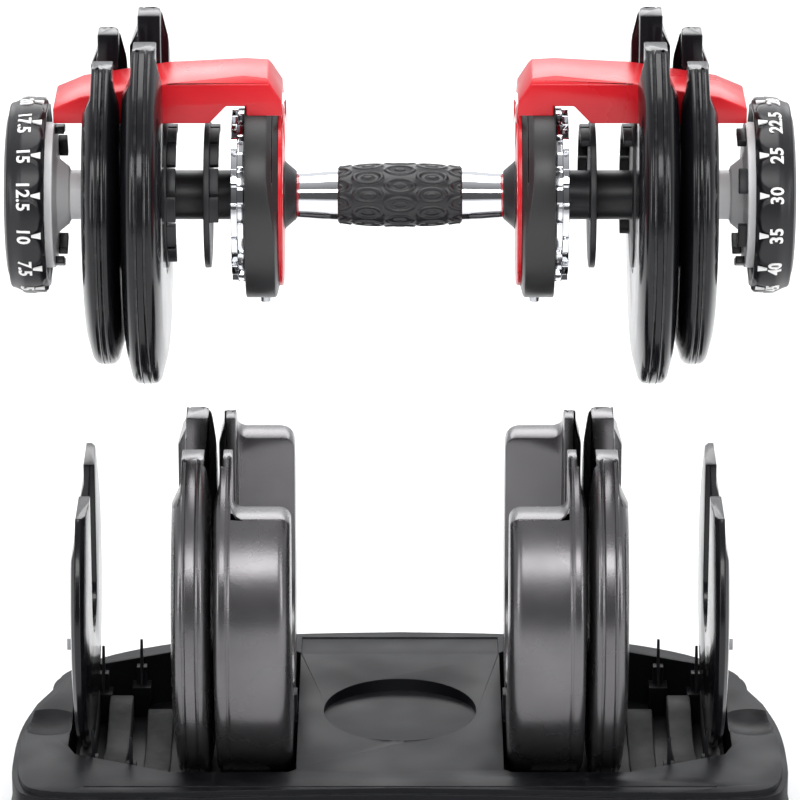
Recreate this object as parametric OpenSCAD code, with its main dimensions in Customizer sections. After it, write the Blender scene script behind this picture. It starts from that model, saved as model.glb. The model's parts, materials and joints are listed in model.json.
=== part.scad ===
/*
  Adjustable dumbbell with its storage tray.
  +X runs along the handle, -Y faces the user, +Z is up. The origin is at the
  middle of the tray's underside. The handle is shown lifted out of the tray,
  with the two plates a side that the dials have selected.
  Most parts are drawn for the right end, with x as the distance from the
  middle of the handle and z = 0 on the handle's axis, and placed by
  lifted() or docked(), which also mirror them for the left end.
*/

/* [Handle] */
// Half the length over the two dials
half_length = 198.5; // [196:0.5:240]
// Radius of the steel axle that everything is threaded on
axle_r = 6; // [5:0.5:7]
// Half the length of the rubber grip
grip_half = 31.5; // [28:0.5:34]
// Radius of the grip at its middle
grip_r = 16.5; // [15.5:0.5:20]
// Half the clear space for the hand, between the two end housings
hand_half = 58.5; // [57:0.5:60]
// Half the height of an end housing
housing_half_h = 53; // [48:1:54]
// Half the depth of an end housing, front to back
housing_half_w = 45; // [42:1:46]

/* [Weight plates] */
// Radius of the largest plates
plate_r = 96; // [92:1:116]
// Half the width of the channel that lets a plate slide off the handle
channel_half = 22; // [21:0.5:24]
// Air between neighbouring plates
plate_gap = 1.5; // [1:0.25:1.75]
// Thickness of the 1.25 lb plate
plate1_t = 8.5; // [8:0.5:9]
// Thickness of the 2.5 lb plate
plate2_t = 18.5; // [18:0.5:22]
// Thickness of the 5 lb plate
plate3_t = 20; // [19:0.5:24]
// Thickness of the outer 7.5 lb plate
plate4_t = 20; // [19:0.5:24]
// Thickness of the web of the inner 7.5 lb plate
plate5_t = 9.5; // [9:0.5:10]

/* [Selector] */
// Outer radius of the selector dials
dial_r = 49.5; // [47:0.5:56]
// Number of weight settings round a dial
settings = 15; // [15:1:15]
// Radius of the discs that carry the plates
disc_r = 37; // [36.5:0.25:38]
// Radius of the sleeve between the discs
sleeve_r = 12.5; // [11:0.5:14]
// Outer radius of the toothed index disc
index_r = 44; // [42:0.5:45]

/* [Tray] */
// How far the tray reaches beyond its wells at each end
tray_end = 30; // [26:1:60]
// How far the tray reaches beyond its wells at the front and back
tray_front = 28; // [25:1:50]
// Height of the tray's deck
tray_h = 34; // [30:1:38]
// Height that the handle is lifted above its place in the tray
lift = 218; // [180:1:262]

/* [Hidden] */
$fn = 96;

// Colours
BLACK = [0.10, 0.10, 0.11];
CHARCOAL = [0.17, 0.17, 0.19];
SATIN = [0.24, 0.24, 0.26];
RED = [0.85, 0.09, 0.13];
CHROME = [0.80, 0.81, 0.83];
GREY = [0.78, 0.79, 0.81];
STEEL = [0.60, 0.61, 0.63];

// Clearances
run = 0.05;          // radial, a part that turns on the axle
slack = 0.3;         // between parts of different bodies
eps = 0.01;

// Heights
floor_t = 5;                           // tray floor under the wells
axis_h = plate_r + floor_t + 1;        // handle axis over the tray's underside, handle in the tray
foot_h = 3;                            // how far the feet raise that underside

// Stations along the handle, from the dial inwards
dial_w = 20.5;
dial_in = half_length - dial_w;        // inner rim of the dial
cam_out = dial_in + 2.5;                // the cam disc reaches this far into the dial
cam_t = 6;
cam_in = cam_out - cam_t;
lip_l = 4.6;                           // how far a cam lip stands out
web_t = 3;                             // web of a lift disc
p1_out = cam_in - lip_l - 1.9;
p1_in = p1_out - plate1_t;
p2_out = p1_in - plate_gap;
p2_in = p2_out - plate2_t;
p3_out = p2_in - plate_gap;
p3_in = p3_out - plate3_t;
p4_out = p3_in - plate_gap;
p4_in = p4_out - plate4_t;
p5_out = p4_in - plate_gap;
p5_in = p5_out - plate5_t;
index_out = p5_in - 0.7;
index_w = 6.4;
index_in = index_out - index_w;
housing_out = index_in - 0.3;
trim_t = 2.6;
trim_inset = 6;                        // the trim is this much smaller than the housing
housing_in = hand_half + trim_t;
housing_wall = 3;
block_in = hand_half - 3;              // inner face of the wide 7.5 lb block

// Plate shapes: radius, height of the horns over the axis, rim bevel
p1_r = plate_r - 14;
p2_r = plate_r - 10;
p5_r = plate_r - 1.5;
horn1 = p1_r - 20;
horn2 = p2_r - 8;
horn3 = plate_r - 8;
pocket_r = disc_r + 3;                 // recess that lets a disc lie between two plates
pocket_out = 4.5;                      // depth of that recess in an outer face
pocket_in = 3.5;                       // depth of that recess in an inner face
cavity_half = max(housing_half_w, index_r) + 3;
cavity_low = housing_half_h + 3;        // the cavity of the inner plate reaches this far down

// Selector lips and tabs
lip_r = disc_r - 1;                    // outer radius of a lip
lip_t = 4;
tab_low = lip_r - lip_t - 0.4;         // lowest point of a tab, below the axis
tab_h = 6.4;
tab_half = 5;
step_deg = 360 / settings;
lip_deg = step_deg - 3;
shown = 6;                             // the setting in use, counted from the lightest
// For each plate a side, the settings that carry it, from 5 lb (0) to 52.5 lb (14)
carried = [[1, 3, 5, 7, 14],
           [2, 3, 6, 7, 8, 11, 13, 14],
           [4, 5, 6, 7, 9, 12, 13, 14],
           [8, 9, 10, 11, 12, 13, 14],
           [10, 11, 12, 13, 14]];

// ---------- helpers ----------
module on_side(s) { mirror([s < 0 ? 1 : 0, 0, 0]) children(); }
module standing() { translate([0, 0, foot_h]) children(); }
module docked(s) { standing() translate([0, 0, axis_h]) on_side(s) children(); }
module lifted(s) { translate([0, 0, lift]) docked(s) children(); }
// The left selector is the right one turned end for end, so its settings run the other way round
module turned() { mirror([0, 1, 0]) children(); }
// Revolves [radius, x] points about the X axis
module spun(points) { rotate([0, 90, 0]) rotate_extrude() polygon(points); }
// A disc or rod along X
module rod_x(r, x0, x1) { translate([x0, 0, 0]) rotate([0, 90, 0]) cylinder(r = r, h = x1 - x0); }
module tube_x(r, bore, x0, x1) {
  difference() {
    rod_x(r, x0, x1);
    rod_x(bore, x0 - 1, x1 + 1);
  }
}
module block(x0, x1, y0, y1, z0, z1) { translate([x0, y0, z0]) cube([x1 - x0, y1 - y0, z1 - z0]); }
// A Y-Z outline given a thickness along X
module slab_x(x0, x1) { translate([x0, 0, 0]) rotate([90, 0, 90]) linear_extrude(x1 - x0) children(); }
function oval(a, b, n = 60) = [for (i = [0:n - 1]) [a * cos(360 * i / n), b * sin(360 * i / n)]];
// Smooths a run of points with a Catmull-Rom curve
function between(a, b, c, d, t) =
  0.5 * (2 * b + (c - a) * t + (2 * a - 5 * b + 4 * c - d) * t * t + (3 * b - a - 3 * c + d) * t * t * t);
function smooth(p, n = 5) = [for (i = [0:len(p) - 2], k = [0:n - 1])
  between(p[max(i - 1, 0)], p[i], p[i + 1], p[min(i + 2, len(p) - 1)], k / n)];
function mirrored(p) = [for (i = [len(p) - 1:-1:0]) [-p[i][0], p[i][1]]];

// ---------- selector ----------
// The lips of one disc: an arc for every setting that carries the plate
module lips(plate, x0, x1) {
  for (k = carried[plate])
    rotate([(k - shown) * step_deg, 0, 0]) intersection() {
      tube_x(lip_r, lip_r - lip_t, x0, x1);
      slab_x(x0 - 1, x1 + 1) polygon([[0, 0], for (a = [-1, 0, 1])
        2 * lip_r * [sin(a * lip_deg / 2), -cos(a * lip_deg / 2)]]);
    }
}
module lift_disc(x0, bore) { tube_x(disc_r, bore, x0, x0 + web_t); }

module dial_knob() color(BLACK) {
  wall = 3.5;
  difference() {
    spun([[axle_r + run, cam_out], [dial_r - wall - 2.5, cam_out], [dial_r - wall - 2.5, dial_in],
          [dial_r - 2.5, dial_in], [dial_r - 1, dial_in + 3], [dial_r, dial_in + 0.45 * dial_w],
          [dial_r - 0.8, dial_in + 0.7 * dial_w], [dial_r - 3.5, half_length - 3.5], [dial_r - 9, half_length],
          [dial_r - 14, half_length], [dial_r - 14.5, half_length - 2.5], [axle_r + run, half_length - 2.5]]);
    // Finger flutes between the numbers
    for (k = [0:settings - 1])
      rotate([(k + 0.5) * step_deg, 0, 0])
        translate([dial_in + 0.4 * dial_w, 0, dial_r + 12.6]) rotate([0, 82, 0]) cylinder(r = 14, h = 40);
  }
}
module dial_cap() color(CHARCOAL) {
  difference() {
    spun([[0, half_length - 2.5], [dial_r - 15.5, half_length - 2.5], [dial_r - 16, half_length - 1],
          [dial_r - 20, half_length - 0.4], [dial_r - 22, half_length - 1.2], [0, half_length - 1.2]]);
    // Hexagon socket of the clamping screw
    translate([half_length - 2.2, 0, 0]) rotate([0, 90, 0]) cylinder(r = 5, h = 4, $fn = 6);
  }
}
module cam_disc() color(GREY) {
  spun([[axle_r + run, p1_in - 1], [sleeve_r, p1_in - 1], [sleeve_r, p1_out + 1], [sleeve_r + 8, cam_in],
        [disc_r, cam_in], [disc_r, cam_out], [axle_r + run, cam_out]]);
}
module cam_lips() color(BLACK) { lips(0, cam_in - lip_l, cam_in); }
module selector_sleeve() color(CHARCOAL) {
  tube_x(sleeve_r, axle_r + run, index_out, p1_in - 1);
}
gap_23 = (p2_in + p3_out) / 2;
gap_34 = (p3_in + p4_out) / 2;
gap_45 = (p4_in + p5_out) / 2;
module lift_discs() color(BLACK) {
  // Between the 2.5 and 5 lb plates, with lips to both sides
  lift_disc(gap_23 - web_t / 2, sleeve_r);
  lips(1, gap_23 + web_t / 2, p2_in + pocket_in - 0.6);
  lips(2, p3_out - pocket_out + 0.6, gap_23 - web_t / 2);
  // Between the 5 and outer 7.5 lb plates
  lift_disc(gap_34, sleeve_r);
  lips(3, p4_out - pocket_out + 0.6, gap_34);
  // Between the two 7.5 lb plates
  lift_disc(gap_45, sleeve_r);
  lips(4, p5_out - pocket_out + 0.6, gap_45);
}
module index_disc() color(CHROME) {
  ring_r = index_r - 3.2;
  difference() {
    union() {
      rod_x(ring_r, index_in, index_out);
      // Two rows of teeth, each filling the other's gaps
      for (row = [0, 1], k = [0:settings - 1])
        rotate([(k + row / 2) * step_deg, 0, 0]) intersection() {
          rod_x(index_r, index_in + row * index_w / 2, index_in + (row + 1) * index_w / 2);
          block(index_in, index_out, -4.3, 4.3, ring_r - 4, index_r + 1);
        }
    }
    rod_x(axle_r + run, index_in - 1, index_out + 1);
    // Ring that the lock tooth drops into
    tube_x(index_r - 7, sleeve_r + 2, index_in - 1, index_in + 2.6);
  }
}

// ---------- handle ----------
module axle() color(STEEL) { rod_x(axle_r, -half_length + 3.5, half_length - 3.5); }
module handle_tube() color(CHROME) {
  tip = hand_half - 6;
  spun([[axle_r, -tip], [12.2, -tip], [13.6, -grip_half], [13.6, grip_half], [12.2, tip], [axle_r, tip]]);
}
module grip() color(BLACK) {
  end_r = grip_r - 1.7;
  n = 6;
  top = [for (i = [-n:n]) [end_r + (grip_r - end_r) * cos(90 * i / n), grip_half * i / n]];
  spun(concat([[13.6, -grip_half]], top, [[13.6, grip_half]]));
}
module collar() color(BLACK) {
  spun([[axle_r, hand_half - 6], [12.4, hand_half - 6], [17.2, hand_half], [axle_r, hand_half]]);
}
module housing_trim() color(RED) {
  difference() {
    slab_x(hand_half, housing_in) polygon(oval(housing_half_w - trim_inset, housing_half_h - trim_inset));
    rod_x(axle_r, hand_half - 1, housing_in + 1);
    pin_path();
  }
}
pin_x = housing_in + housing_wall + 4.5;
pin_r = 2.5;
pin_low = housing_half_h + 4;          // how far the pin reaches below the axis
module pin_path() { translate([pin_x, 0, -pin_low - 5]) cylinder(r = pin_r + run, h = pin_low - 15); }
module end_housing() color(CHARCOAL) {
  wall = housing_wall;
  difference() {
    union() {
      slab_x(housing_in, housing_in + 2) polygon(oval(housing_half_w - 4, housing_half_h - 4));
      slab_x(housing_in + 2, housing_out) polygon(oval(housing_half_w, housing_half_h));
    }
    slab_x(housing_in + wall, housing_out + 1) polygon(oval(housing_half_w - wall, housing_half_h - wall));
    rod_x(axle_r, housing_in - 1, housing_out);
    pin_path();
  }
  // Guide boss of the lock pin and the wall that its spring pushes on
  difference() {
    block(housing_in + wall, pin_x + 4.5, -4.5, 4.5, -housing_half_h + wall + 0.5, -housing_half_h + 9);
    pin_path();
  }
  block(housing_in + wall, pin_x + 4.5, -4.5, 4.5, -21.5, -18);
}
module housing_plate() color(BLACK) {
  difference() {
    slab_x(housing_out - 2.4, housing_out) polygon(oval(housing_half_w - 3.05, housing_half_h - 3.05));
    rod_x(axle_r, housing_out - 4, housing_out + 1);
    // Slot for the arm of the lock pin
    block(housing_out - 4, housing_out + 1, -3, 3, -arm_z - 0.5, -arm_z + 8.5);
  }
}
tooth_low = index_r - 7 - 0.4;
arm_z = tooth_low;
arm_t = 3.6;
module lock_pin() color(STEEL) {
  translate([pin_x, 0, -pin_low]) cylinder(r = pin_r, h = pin_low - 26);
  // Arm that reaches through the housing plate into the index disc
  difference() {
    block(pin_x - 3.5, index_in + 2.2, -2.4, 2.4, -arm_z, -arm_z + arm_t);
    translate([pin_x, 0, -arm_z - 1]) cylinder(r = pin_r, h = 6);
  }
}
module lock_spring() color(STEEL) {
  turns = 3.5;
  coil_r = 3.6;
  wire_r = 0.45;
  z0 = -arm_z + arm_t + wire_r + 0.05;
  z1 = -21.5 - wire_r - 0.05;
  steps = 42;
  sides = 8;
  rings = [for (i = [0:steps], k = [0:sides - 1])
    let (a = 360 * turns * i / steps, r = coil_r + wire_r * cos(360 * k / sides))
      [pin_x + r * cos(a), r * sin(a), z0 + (z1 - z0) * i / steps + wire_r * sin(360 * k / sides)]];
  polyhedron(rings, concat(
    [for (i = [0:steps - 1], k = [0:sides - 1])
      [i * sides + k, i * sides + (k + 1) % sides, (i + 1) * sides + (k + 1) % sides, (i + 1) * sides + k]],
    [[for (k = [sides - 1:-1:0]) k]], [[for (k = [0:sides - 1]) steps * sides + k]]));
}
// Profile of the bridge from its tip at the dial to the housing
bridge_tip = dial_in - 4;
bridge_low = housing_half_h - 9;
bridge_top = housing_half_h + 15;
function bridge_side(inset) = [
  [bridge_tip - inset, bridge_low - 1], [bridge_tip - inset, bridge_low + 8 - inset],
  [p2_out + 2, bridge_low + 14 - inset], [p4_out, bridge_low + 21 - inset],
  [housing_out, bridge_top - inset], [hand_half + 8, bridge_top - 1 - inset],
  [hand_half + 1 + inset, bridge_top - 12], [hand_half - 0.2 + inset, housing_half_h - 10],
  [housing_in + 1, housing_half_h - 16],
  [index_out + 1, housing_half_h - 16]];
bridge_half = channel_half - 3;
module bridge_bulk(inset) {
  rotate([90, 0, 0]) translate([0, 0, -bridge_half + inset])
    linear_extrude(2 * (bridge_half - inset)) polygon(bridge_side(inset));
}
module bridge_cover() color(RED) {
  difference() {
    bridge_bulk(0);
    // Underside, with a slope up to clear the index disc
    rotate([90, 0, 0]) translate([0, 0, -bridge_half - 1]) linear_extrude(2 * bridge_half + 2)
      polygon([[bridge_tip + 1, bridge_low], [index_out + 11, bridge_low], [index_out + 2.5, bridge_low + 9],
               [housing_out - 1, bridge_low + 9], [housing_out - 1, 0], [bridge_tip + 1, 0]]);
    // Seat on the end housing and its trim
    slab_x(hand_half - eps, housing_out + eps) polygon(oval(housing_half_w, housing_half_h));
    // Inside
    intersection() {
      bridge_bulk(2.4);
      block(housing_out + 4, bridge_tip - 6, -bridge_half, bridge_half, 0, bridge_top);
    }
    // Two long chamfers along the top
    for (s = [-1, 1])
      translate([0, s * bridge_half, bridge_top]) rotate([45, 0, 0])
        block(0, half_length, -2.4, 2.4, -2.4, 2.4);
    frame_bolts(2.1);
  }
}
frame_z = bridge_low + 9.2;
bolt_up = 5;                           // a screw's tip over the frame's underside
module frame_bolts(r) {
  for (x = [p4_in, p2_in])
    translate([x, 0, bridge_low - 2]) cylinder(r = r, h = frame_z + bolt_up - bridge_low + 2);
}
module bridge_frame() color(STEEL) {
  // Steel strap inside the cover, from the housing to the outermost plates
  difference() {
    block(housing_out + 4.4, p2_out - 3, -bridge_half + 5, bridge_half - 5, frame_z, frame_z + 3);
    frame_bolts(2.1);
  }
}
module bridge_screws() color(STEEL) {
  for (s = [-1, 1], x = [p4_in, p2_in]) lifted(s) translate([x, 0, 0]) {
    translate([0, 0, frame_z - 3]) cylinder(r = 2.0, h = 3 + bolt_up);
    translate([0, 0, frame_z - 5.2]) cylinder(r = 3.6, h = 2.2);
  }
}

// ---------- plates ----------
// A round plate with a bevelled rim, before its channel and recesses are cut
module plate_blank(r, x0, x1, bevel, narrow) {
  spun([[0, x0], [r - bevel, x0], [r - 1.2, x0 + narrow], [r, x0 + narrow + 1.2],
        [r, x1 - narrow - 1.2], [r - 1.2, x1 - narrow], [r - bevel, x1], [0, x1]]);
}
module channel(half, x0, x1, top) {
  rod_x(half, x0, x1);
  block(x0, x1, -half, half, 0, top);
}
// A plate that stands in the tray: channel, recesses for the discs, flat horn tops
module plate(r, horn, x0, x1, bevel, narrow, deep_in, deep_out) {
  difference() {
    plate_blank(r, x0, x1, bevel, narrow);
    channel(channel_half, x0 - 1, x1 + 1, r + 1);
    if (deep_in > 0) channel(pocket_r, x0 - 1, x0 + deep_in, r + 1);
    if (deep_out > 0) channel(pocket_r, x1 - deep_out, x1 + 1, r + 1);
    block(x0 - 1, x1 + 1, -r, r, horn, r + 1);
    // Two fine grooves round the rim
    for (x = [x0 + narrow + 1.8, x1 - narrow - 2.2]) tube_x(r + 1, r - 0.5, x, x + 0.4);
  }
}
module plate_1() color(BLACK) { plate(p1_r, horn1, p1_in, p1_out, 9, 1.9, 0, 0); }
module plate_2() color(BLACK) { plate(p2_r, horn2, p2_in, p2_out, 12, 4, pocket_in, 4); }
module plate_3() color(BLACK) { plate(plate_r, horn3, p3_in, p3_out, 13, 4, pocket_in, pocket_out); }
module plate_4() color(SATIN) { plate(plate_r, horn3, p4_in, p4_out, 13, 3, pocket_in, pocket_out); }
block_top = horn3 - 21;
module plate_5() color(SATIN) {
  difference() {
    union() {
      plate_blank(p5_r, p5_in, p5_out, 10, 2.2);
      // The wide block that fills the space round the end housing
      difference() {
        spun([[0, block_in], [p5_r - 6, block_in], [p5_r - 1, block_in + 4], [p5_r, block_in + 6],
              [p5_r, p5_in + 3], [0, p5_in + 3]]);
        slab_x(block_in - 1, p5_in) polygon(oval(cavity_half, cavity_low));
        block(block_in - 1, p5_in, -cavity_half, cavity_half, 0, plate_r);
        block(block_in - 1, p5_in - eps, -p5_r, p5_r, block_top, plate_r);
        // Slot for the lug that frees the lock pin
        block(block_in - 1, pin_x + 5.5, -7, 7, -plate_r, 0);
      }
    }
    channel(channel_half, p5_in - 1, p5_out + 1, plate_r + 1);
    channel(pocket_r, p5_out - pocket_out, p5_out + 1, plate_r + 1);
    block(p5_in - 1, p5_out + 1, -p5_r, p5_r, horn3, plate_r + 1);
  }
}
// Steel tab that a lip lifts: it stands out of a plate's face at x by length l
module tab(x, l) color(STEEL) {
  difference() {
    block(l > 0 ? x : x + l, l > 0 ? x + l : x, -tab_half, tab_half, -tab_low, -tab_low + tab_h);
    rod_x(tab_low - tab_h, x - 20, x + 20);
  }
}
// Each tab stops just short of the web of the disc that lifts it
module tab_1() tab(p1_out, min(cam_in, dial_in) - slack - p1_out);
module tab_2() tab(p2_in + pocket_in, gap_23 + web_t / 2 + slack - p2_in - pocket_in);
module tab_3() tab(p3_out - pocket_out, gap_23 - web_t / 2 - slack - p3_out + pocket_out);
module tab_4() tab(p4_out - pocket_out, gap_34 - slack - p4_out + pocket_out);
module tab_5() tab(p5_out - pocket_out, gap_45 - slack - p5_out + pocket_out);

// ---------- tray ----------
well_in = block_in - 2;
well_out = p1_out + 4;
well_front = plate_r - 18;
hl = well_out + tray_end;              // half the tray's length
hw = well_front + tray_front;          // half its depth
// Right half of the outline, from the back round the side to the front
back_run = [[0, hw], [0.30 * hl, hw - 3], [0.56 * hl, hw - 12], [0.78 * hl, hw - 31], [hl - 19, hw - 56],
            [hl - 15, hw - 74]];
side_run = [[hl - 8, hw - 92], [hl - 2, hw - 122], [hl, hw - 156], [hl - 2, -hw + 20], [hl - 14, -hw + 3],
            [0.70 * hl, -hw], [0.38 * hl, -hw + 3], [0, -hw + 6]];
function last(p) = p[len(p) - 1];
half_outline = concat(smooth(back_run), [last(back_run)], smooth(side_run), [last(side_run)]);
function outline(k) = [for (p = concat(half_outline, mirrored(half_outline))) [p[0] * k, p[1] * k]];
module well(s) on_side(s) {
  translate([0, 0, floor_t]) linear_extrude(tray_h)
    polygon([[well_in, -well_front + 3], [well_in + 4, -well_front], [p3_in, -well_front],
             [well_out - 4, -well_front + 22], [well_out, -well_front + 32],
             [well_out, well_front - 32], [well_out - 4, well_front - 22],
             [p3_in, well_front], [well_in + 4, well_front], [well_in, well_front - 3]]);
}
// Half the depth of a well at a distance x from the middle: its outer corners slant
function well_edge(x) = x < p3_in ? well_front : well_front - 22 * (x - p3_in) / (well_out - 4 - p3_in);
dish_r = 40;
module tray() color(CHARCOAL) {
  difference() {
    union() {
      linear_extrude(6) polygon(outline(1));
      translate([0, 0, 6]) linear_extrude(tray_h - 9) polygon(outline(0.99));
      translate([0, 0, tray_h - 3]) linear_extrude(3) polygon(outline(0.975));
    }
    for (s = [-1, 1]) well(s);
    // Round dish in the middle of the deck, deepest at the back
    translate([0, 0, tray_h]) rotate([-5, 0, 0]) translate([0, 0, -3.5]) cylinder(r = dish_r, h = 20);
    // Shallow panel behind it
    translate([0, 0, tray_h - 0.8]) linear_extrude(2)
      polygon([[-53, hw - 32], [53, hw - 32], [53, hw - 10], [-53, hw - 10]]);
    // Hollow scoops outside the wells
    for (s = [-1, 1]) on_side(s)
      translate([well_out + 12, -16, tray_h + 26]) rotate([0, 0, 12]) sphere(r = 31);
    // Groove along the front edge of the deck
    translate([0, -hw + 10, tray_h - 0.7]) linear_extrude(2) square([1.6 * hl, 1.2], center = true);
    // Screw holes for the feet
    for (p = foot_places) translate([p[0], p[1], -1]) cylinder(r = 2.1, h = floor_t + 0.4);
  }
}
foot_places = [for (x = [-1, 1], y = [-1, 1]) [x * (hl - 50), y * (hw - 22) - (y > 0 ? 22 : 0)]];
// Each plate's cradle: [inner face, outer face, radius]
cradles = [[p1_in + 1, p1_out - 1, p1_r], [p2_in + 3, p2_out - 3, p2_r], [p3_in + 3, p3_out - 3, plate_r],
           [p4_in + 3, p4_out - 3, plate_r], [p5_in - 18, p5_out - 1, p5_r]];
module tray_cradles() color(BLACK) {
  for (s = [-1, 1], c = cradles) translate([0, 0, axis_h]) on_side(s)
    difference() {
      block(c[0], c[1], -46, 46, -axis_h + floor_t, -axis_h + floor_t + 9 + (plate_r - c[2]) * 0.8);
      rod_x(c[2] + slack, c[0] - 1, c[1] + 1);
      if (c[0] < pin_x + 6) block(c[0] - 1, pin_x + 6, -8, 8, -axis_h, 0);
    }
}
// Upright stepped guides in the gaps between plates, at the front and back
tower_half = 5;                        // half the width of a guide's foot
tower_low = 17;                        // height of that foot
step_half = 2.8;
module tray_dividers() color(CHARCOAL) {
  for (s = [-1, 1], x = [(p1_in + p2_out) / 2, gap_23], f = [-1, 1]) on_side(s)
    mirror([0, f > 0 ? 1 : 0, 0]) {
      y1 = 9.5 - well_edge(x + tower_half);
      low = floor_t + tower_low;
      translate([x, 0, 0]) {
        block(-tower_half, tower_half, y1 - 9, y1 + 2, floor_t, low);
        block(-step_half, step_half, y1 - 8, y1 - 2.5, low, low + 10);
        rotate([90, 0, 90]) translate([0, 0, -plate_gap / 2]) linear_extrude(plate_gap)
          polygon([[y1 - 8, low], [y1, low], [y1 - 3, axis_h - 60], [y1 - 6.5, axis_h - 55],
                   [y1 - 8, axis_h - 58]]);
      }
    }
}
head_low = 0.5;                        // the screw heads stay this far inside the feet
head_t = 1.1;                          // thickness of those heads
module tray_feet() color(BLACK) {
  for (p = foot_places) translate([p[0], p[1], -foot_h]) difference() {
    cylinder(r1 = 8, r2 = 9, h = foot_h);
    translate([0, 0, -1]) cylinder(r = 2.1, h = foot_h + 2);
    translate([0, 0, -1]) cylinder(r = 4, h = 1 + head_low + head_t);
  }
}
module tray_screws() color(STEEL) {
  for (p = foot_places) translate([p[0], p[1], head_low - foot_h]) {
    cylinder(r = 3.6, h = head_t);
    cylinder(r = 2, h = foot_h + floor_t - head_low - 0.8);
  }
}
// Posts that push the lock pins up when the handle is home
module release_lugs() color(CHARCOAL) {
  for (s = [-1, 1]) on_side(s) {
    block(well_in, pin_x + 3, -6, 6, floor_t, tray_h - 4);
    block(well_in + 0.5, pin_x + 3, -5, 5, tray_h - 4, axis_h - pin_low - slack);
  }
}

standing() tray();
standing() tray_cradles();
standing() tray_dividers();
standing() tray_feet();
standing() release_lugs();
standing() tray_screws();
lifted(1) axle();
lifted(1) handle_tube();
lifted(1) grip();
bridge_screws();
lifted(-1) collar();  // left_collar
lifted(-1) end_housing();  // left_end_housing
lifted(-1) housing_plate();  // left_housing_plate
lifted(-1) housing_trim();  // left_housing_trim
lifted(-1) bridge_cover();  // left_bridge_cover
lifted(-1) bridge_frame();  // left_bridge_frame
lifted(-1) lock_spring();  // left_lock_spring
lifted(-1) lock_pin();  // left_lock_pin
lifted(-1) dial_knob();  // left_dial_knob
lifted(-1) dial_cap();  // left_dial_cap
lifted(-1) cam_disc();  // left_cam_disc
lifted(-1) turned() cam_lips();  // left_cam_lips
lifted(-1) selector_sleeve();  // left_selector_sleeve
lifted(-1) turned() lift_discs();  // left_lift_discs
lifted(-1) index_disc();  // left_index_disc
docked(-1) plate_1();  // left_plate_1
docked(-1) tab_1();  // left_tab_1
lifted(-1) plate_2();  // left_plate_2
lifted(-1) tab_2();  // left_tab_2
lifted(-1) plate_3();  // left_plate_3
lifted(-1) tab_3();  // left_tab_3
docked(-1) plate_4();  // left_plate_4
docked(-1) tab_4();  // left_tab_4
docked(-1) plate_5();  // left_plate_5
docked(-1) tab_5();  // left_tab_5
lifted(1) collar();  // right_collar
lifted(1) end_housing();  // right_end_housing
lifted(1) housing_plate();  // right_housing_plate
lifted(1) housing_trim();  // right_housing_trim
lifted(1) bridge_cover();  // right_bridge_cover
lifted(1) bridge_frame();  // right_bridge_frame
lifted(1) lock_spring();  // right_lock_spring
lifted(1) lock_pin();  // right_lock_pin
lifted(1) dial_knob();  // right_dial_knob
lifted(1) dial_cap();  // right_dial_cap
lifted(1) cam_disc();  // right_cam_disc
lifted(1) cam_lips();  // right_cam_lips
lifted(1) selector_sleeve();  // right_selector_sleeve
lifted(1) lift_discs();  // right_lift_discs
lifted(1) index_disc();  // right_index_disc
docked(1) plate_1();  // right_plate_1
docked(1) tab_1();  // right_tab_1
lifted(1) plate_2();  // right_plate_2
lifted(1) tab_2();  // right_tab_2
lifted(1) plate_3();  // right_plate_3
lifted(1) tab_3();  // right_tab_3
docked(1) plate_4();  // right_plate_4
docked(1) tab_4();  // right_tab_4
docked(1) plate_5();  // right_plate_5
docked(1) tab_5();  // right_tab_5
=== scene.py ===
# %% [markdown]
# # An adjustable dumbbell, lifted out of its tray
# A handle carries some of its weight plates and leaves the others standing in a tray. The packed
# model already fixes every size, place and joint. This lesson puts the visible skin on it: pieces
# with rounded edges, and finishes made from noise, so that nothing needs a picture file.
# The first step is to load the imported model, because every later size is read from it.

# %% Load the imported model
import json
import math
import bmesh
import bpy
import numpy as np
from mathutils import Matrix, Vector


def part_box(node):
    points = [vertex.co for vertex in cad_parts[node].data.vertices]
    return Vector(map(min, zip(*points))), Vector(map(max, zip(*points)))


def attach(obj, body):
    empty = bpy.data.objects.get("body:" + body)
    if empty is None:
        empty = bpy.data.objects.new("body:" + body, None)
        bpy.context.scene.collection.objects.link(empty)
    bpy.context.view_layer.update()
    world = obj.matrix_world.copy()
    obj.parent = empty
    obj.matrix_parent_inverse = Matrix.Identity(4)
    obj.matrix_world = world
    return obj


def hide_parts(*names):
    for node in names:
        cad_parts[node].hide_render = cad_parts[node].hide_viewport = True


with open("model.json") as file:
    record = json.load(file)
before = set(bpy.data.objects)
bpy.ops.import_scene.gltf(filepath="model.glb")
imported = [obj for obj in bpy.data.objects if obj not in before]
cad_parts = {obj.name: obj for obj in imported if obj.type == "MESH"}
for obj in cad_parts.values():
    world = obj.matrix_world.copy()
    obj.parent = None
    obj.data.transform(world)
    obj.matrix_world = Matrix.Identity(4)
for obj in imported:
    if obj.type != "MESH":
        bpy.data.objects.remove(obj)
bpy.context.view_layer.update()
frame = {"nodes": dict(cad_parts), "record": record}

# %% [markdown]
# ## Sizes that come from the model
# The two ends of the dumbbell are alike, so each piece is built once for the right end, with X
# measured from the middle of the handle and Z from the handle's axis, in millimetres. It is then
# mirrored for the left end and raised to its axis: the carried plates hang at the lifted axis and
# the stored ones at the resting axis.

# %% Axes, spans and radii in millimetres
MM = 0.001
SIDES = {"left": -1, "right": 1}
joint_lift = next(j for j in frame["record"]["behaviour"]["joints"] if j["name"] == "handle_lift")
lifted_axis = (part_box("axle")[0][2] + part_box("axle")[1][2]) / 2
resting_axis = lifted_axis + joint_lift["range_m"][0]


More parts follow.
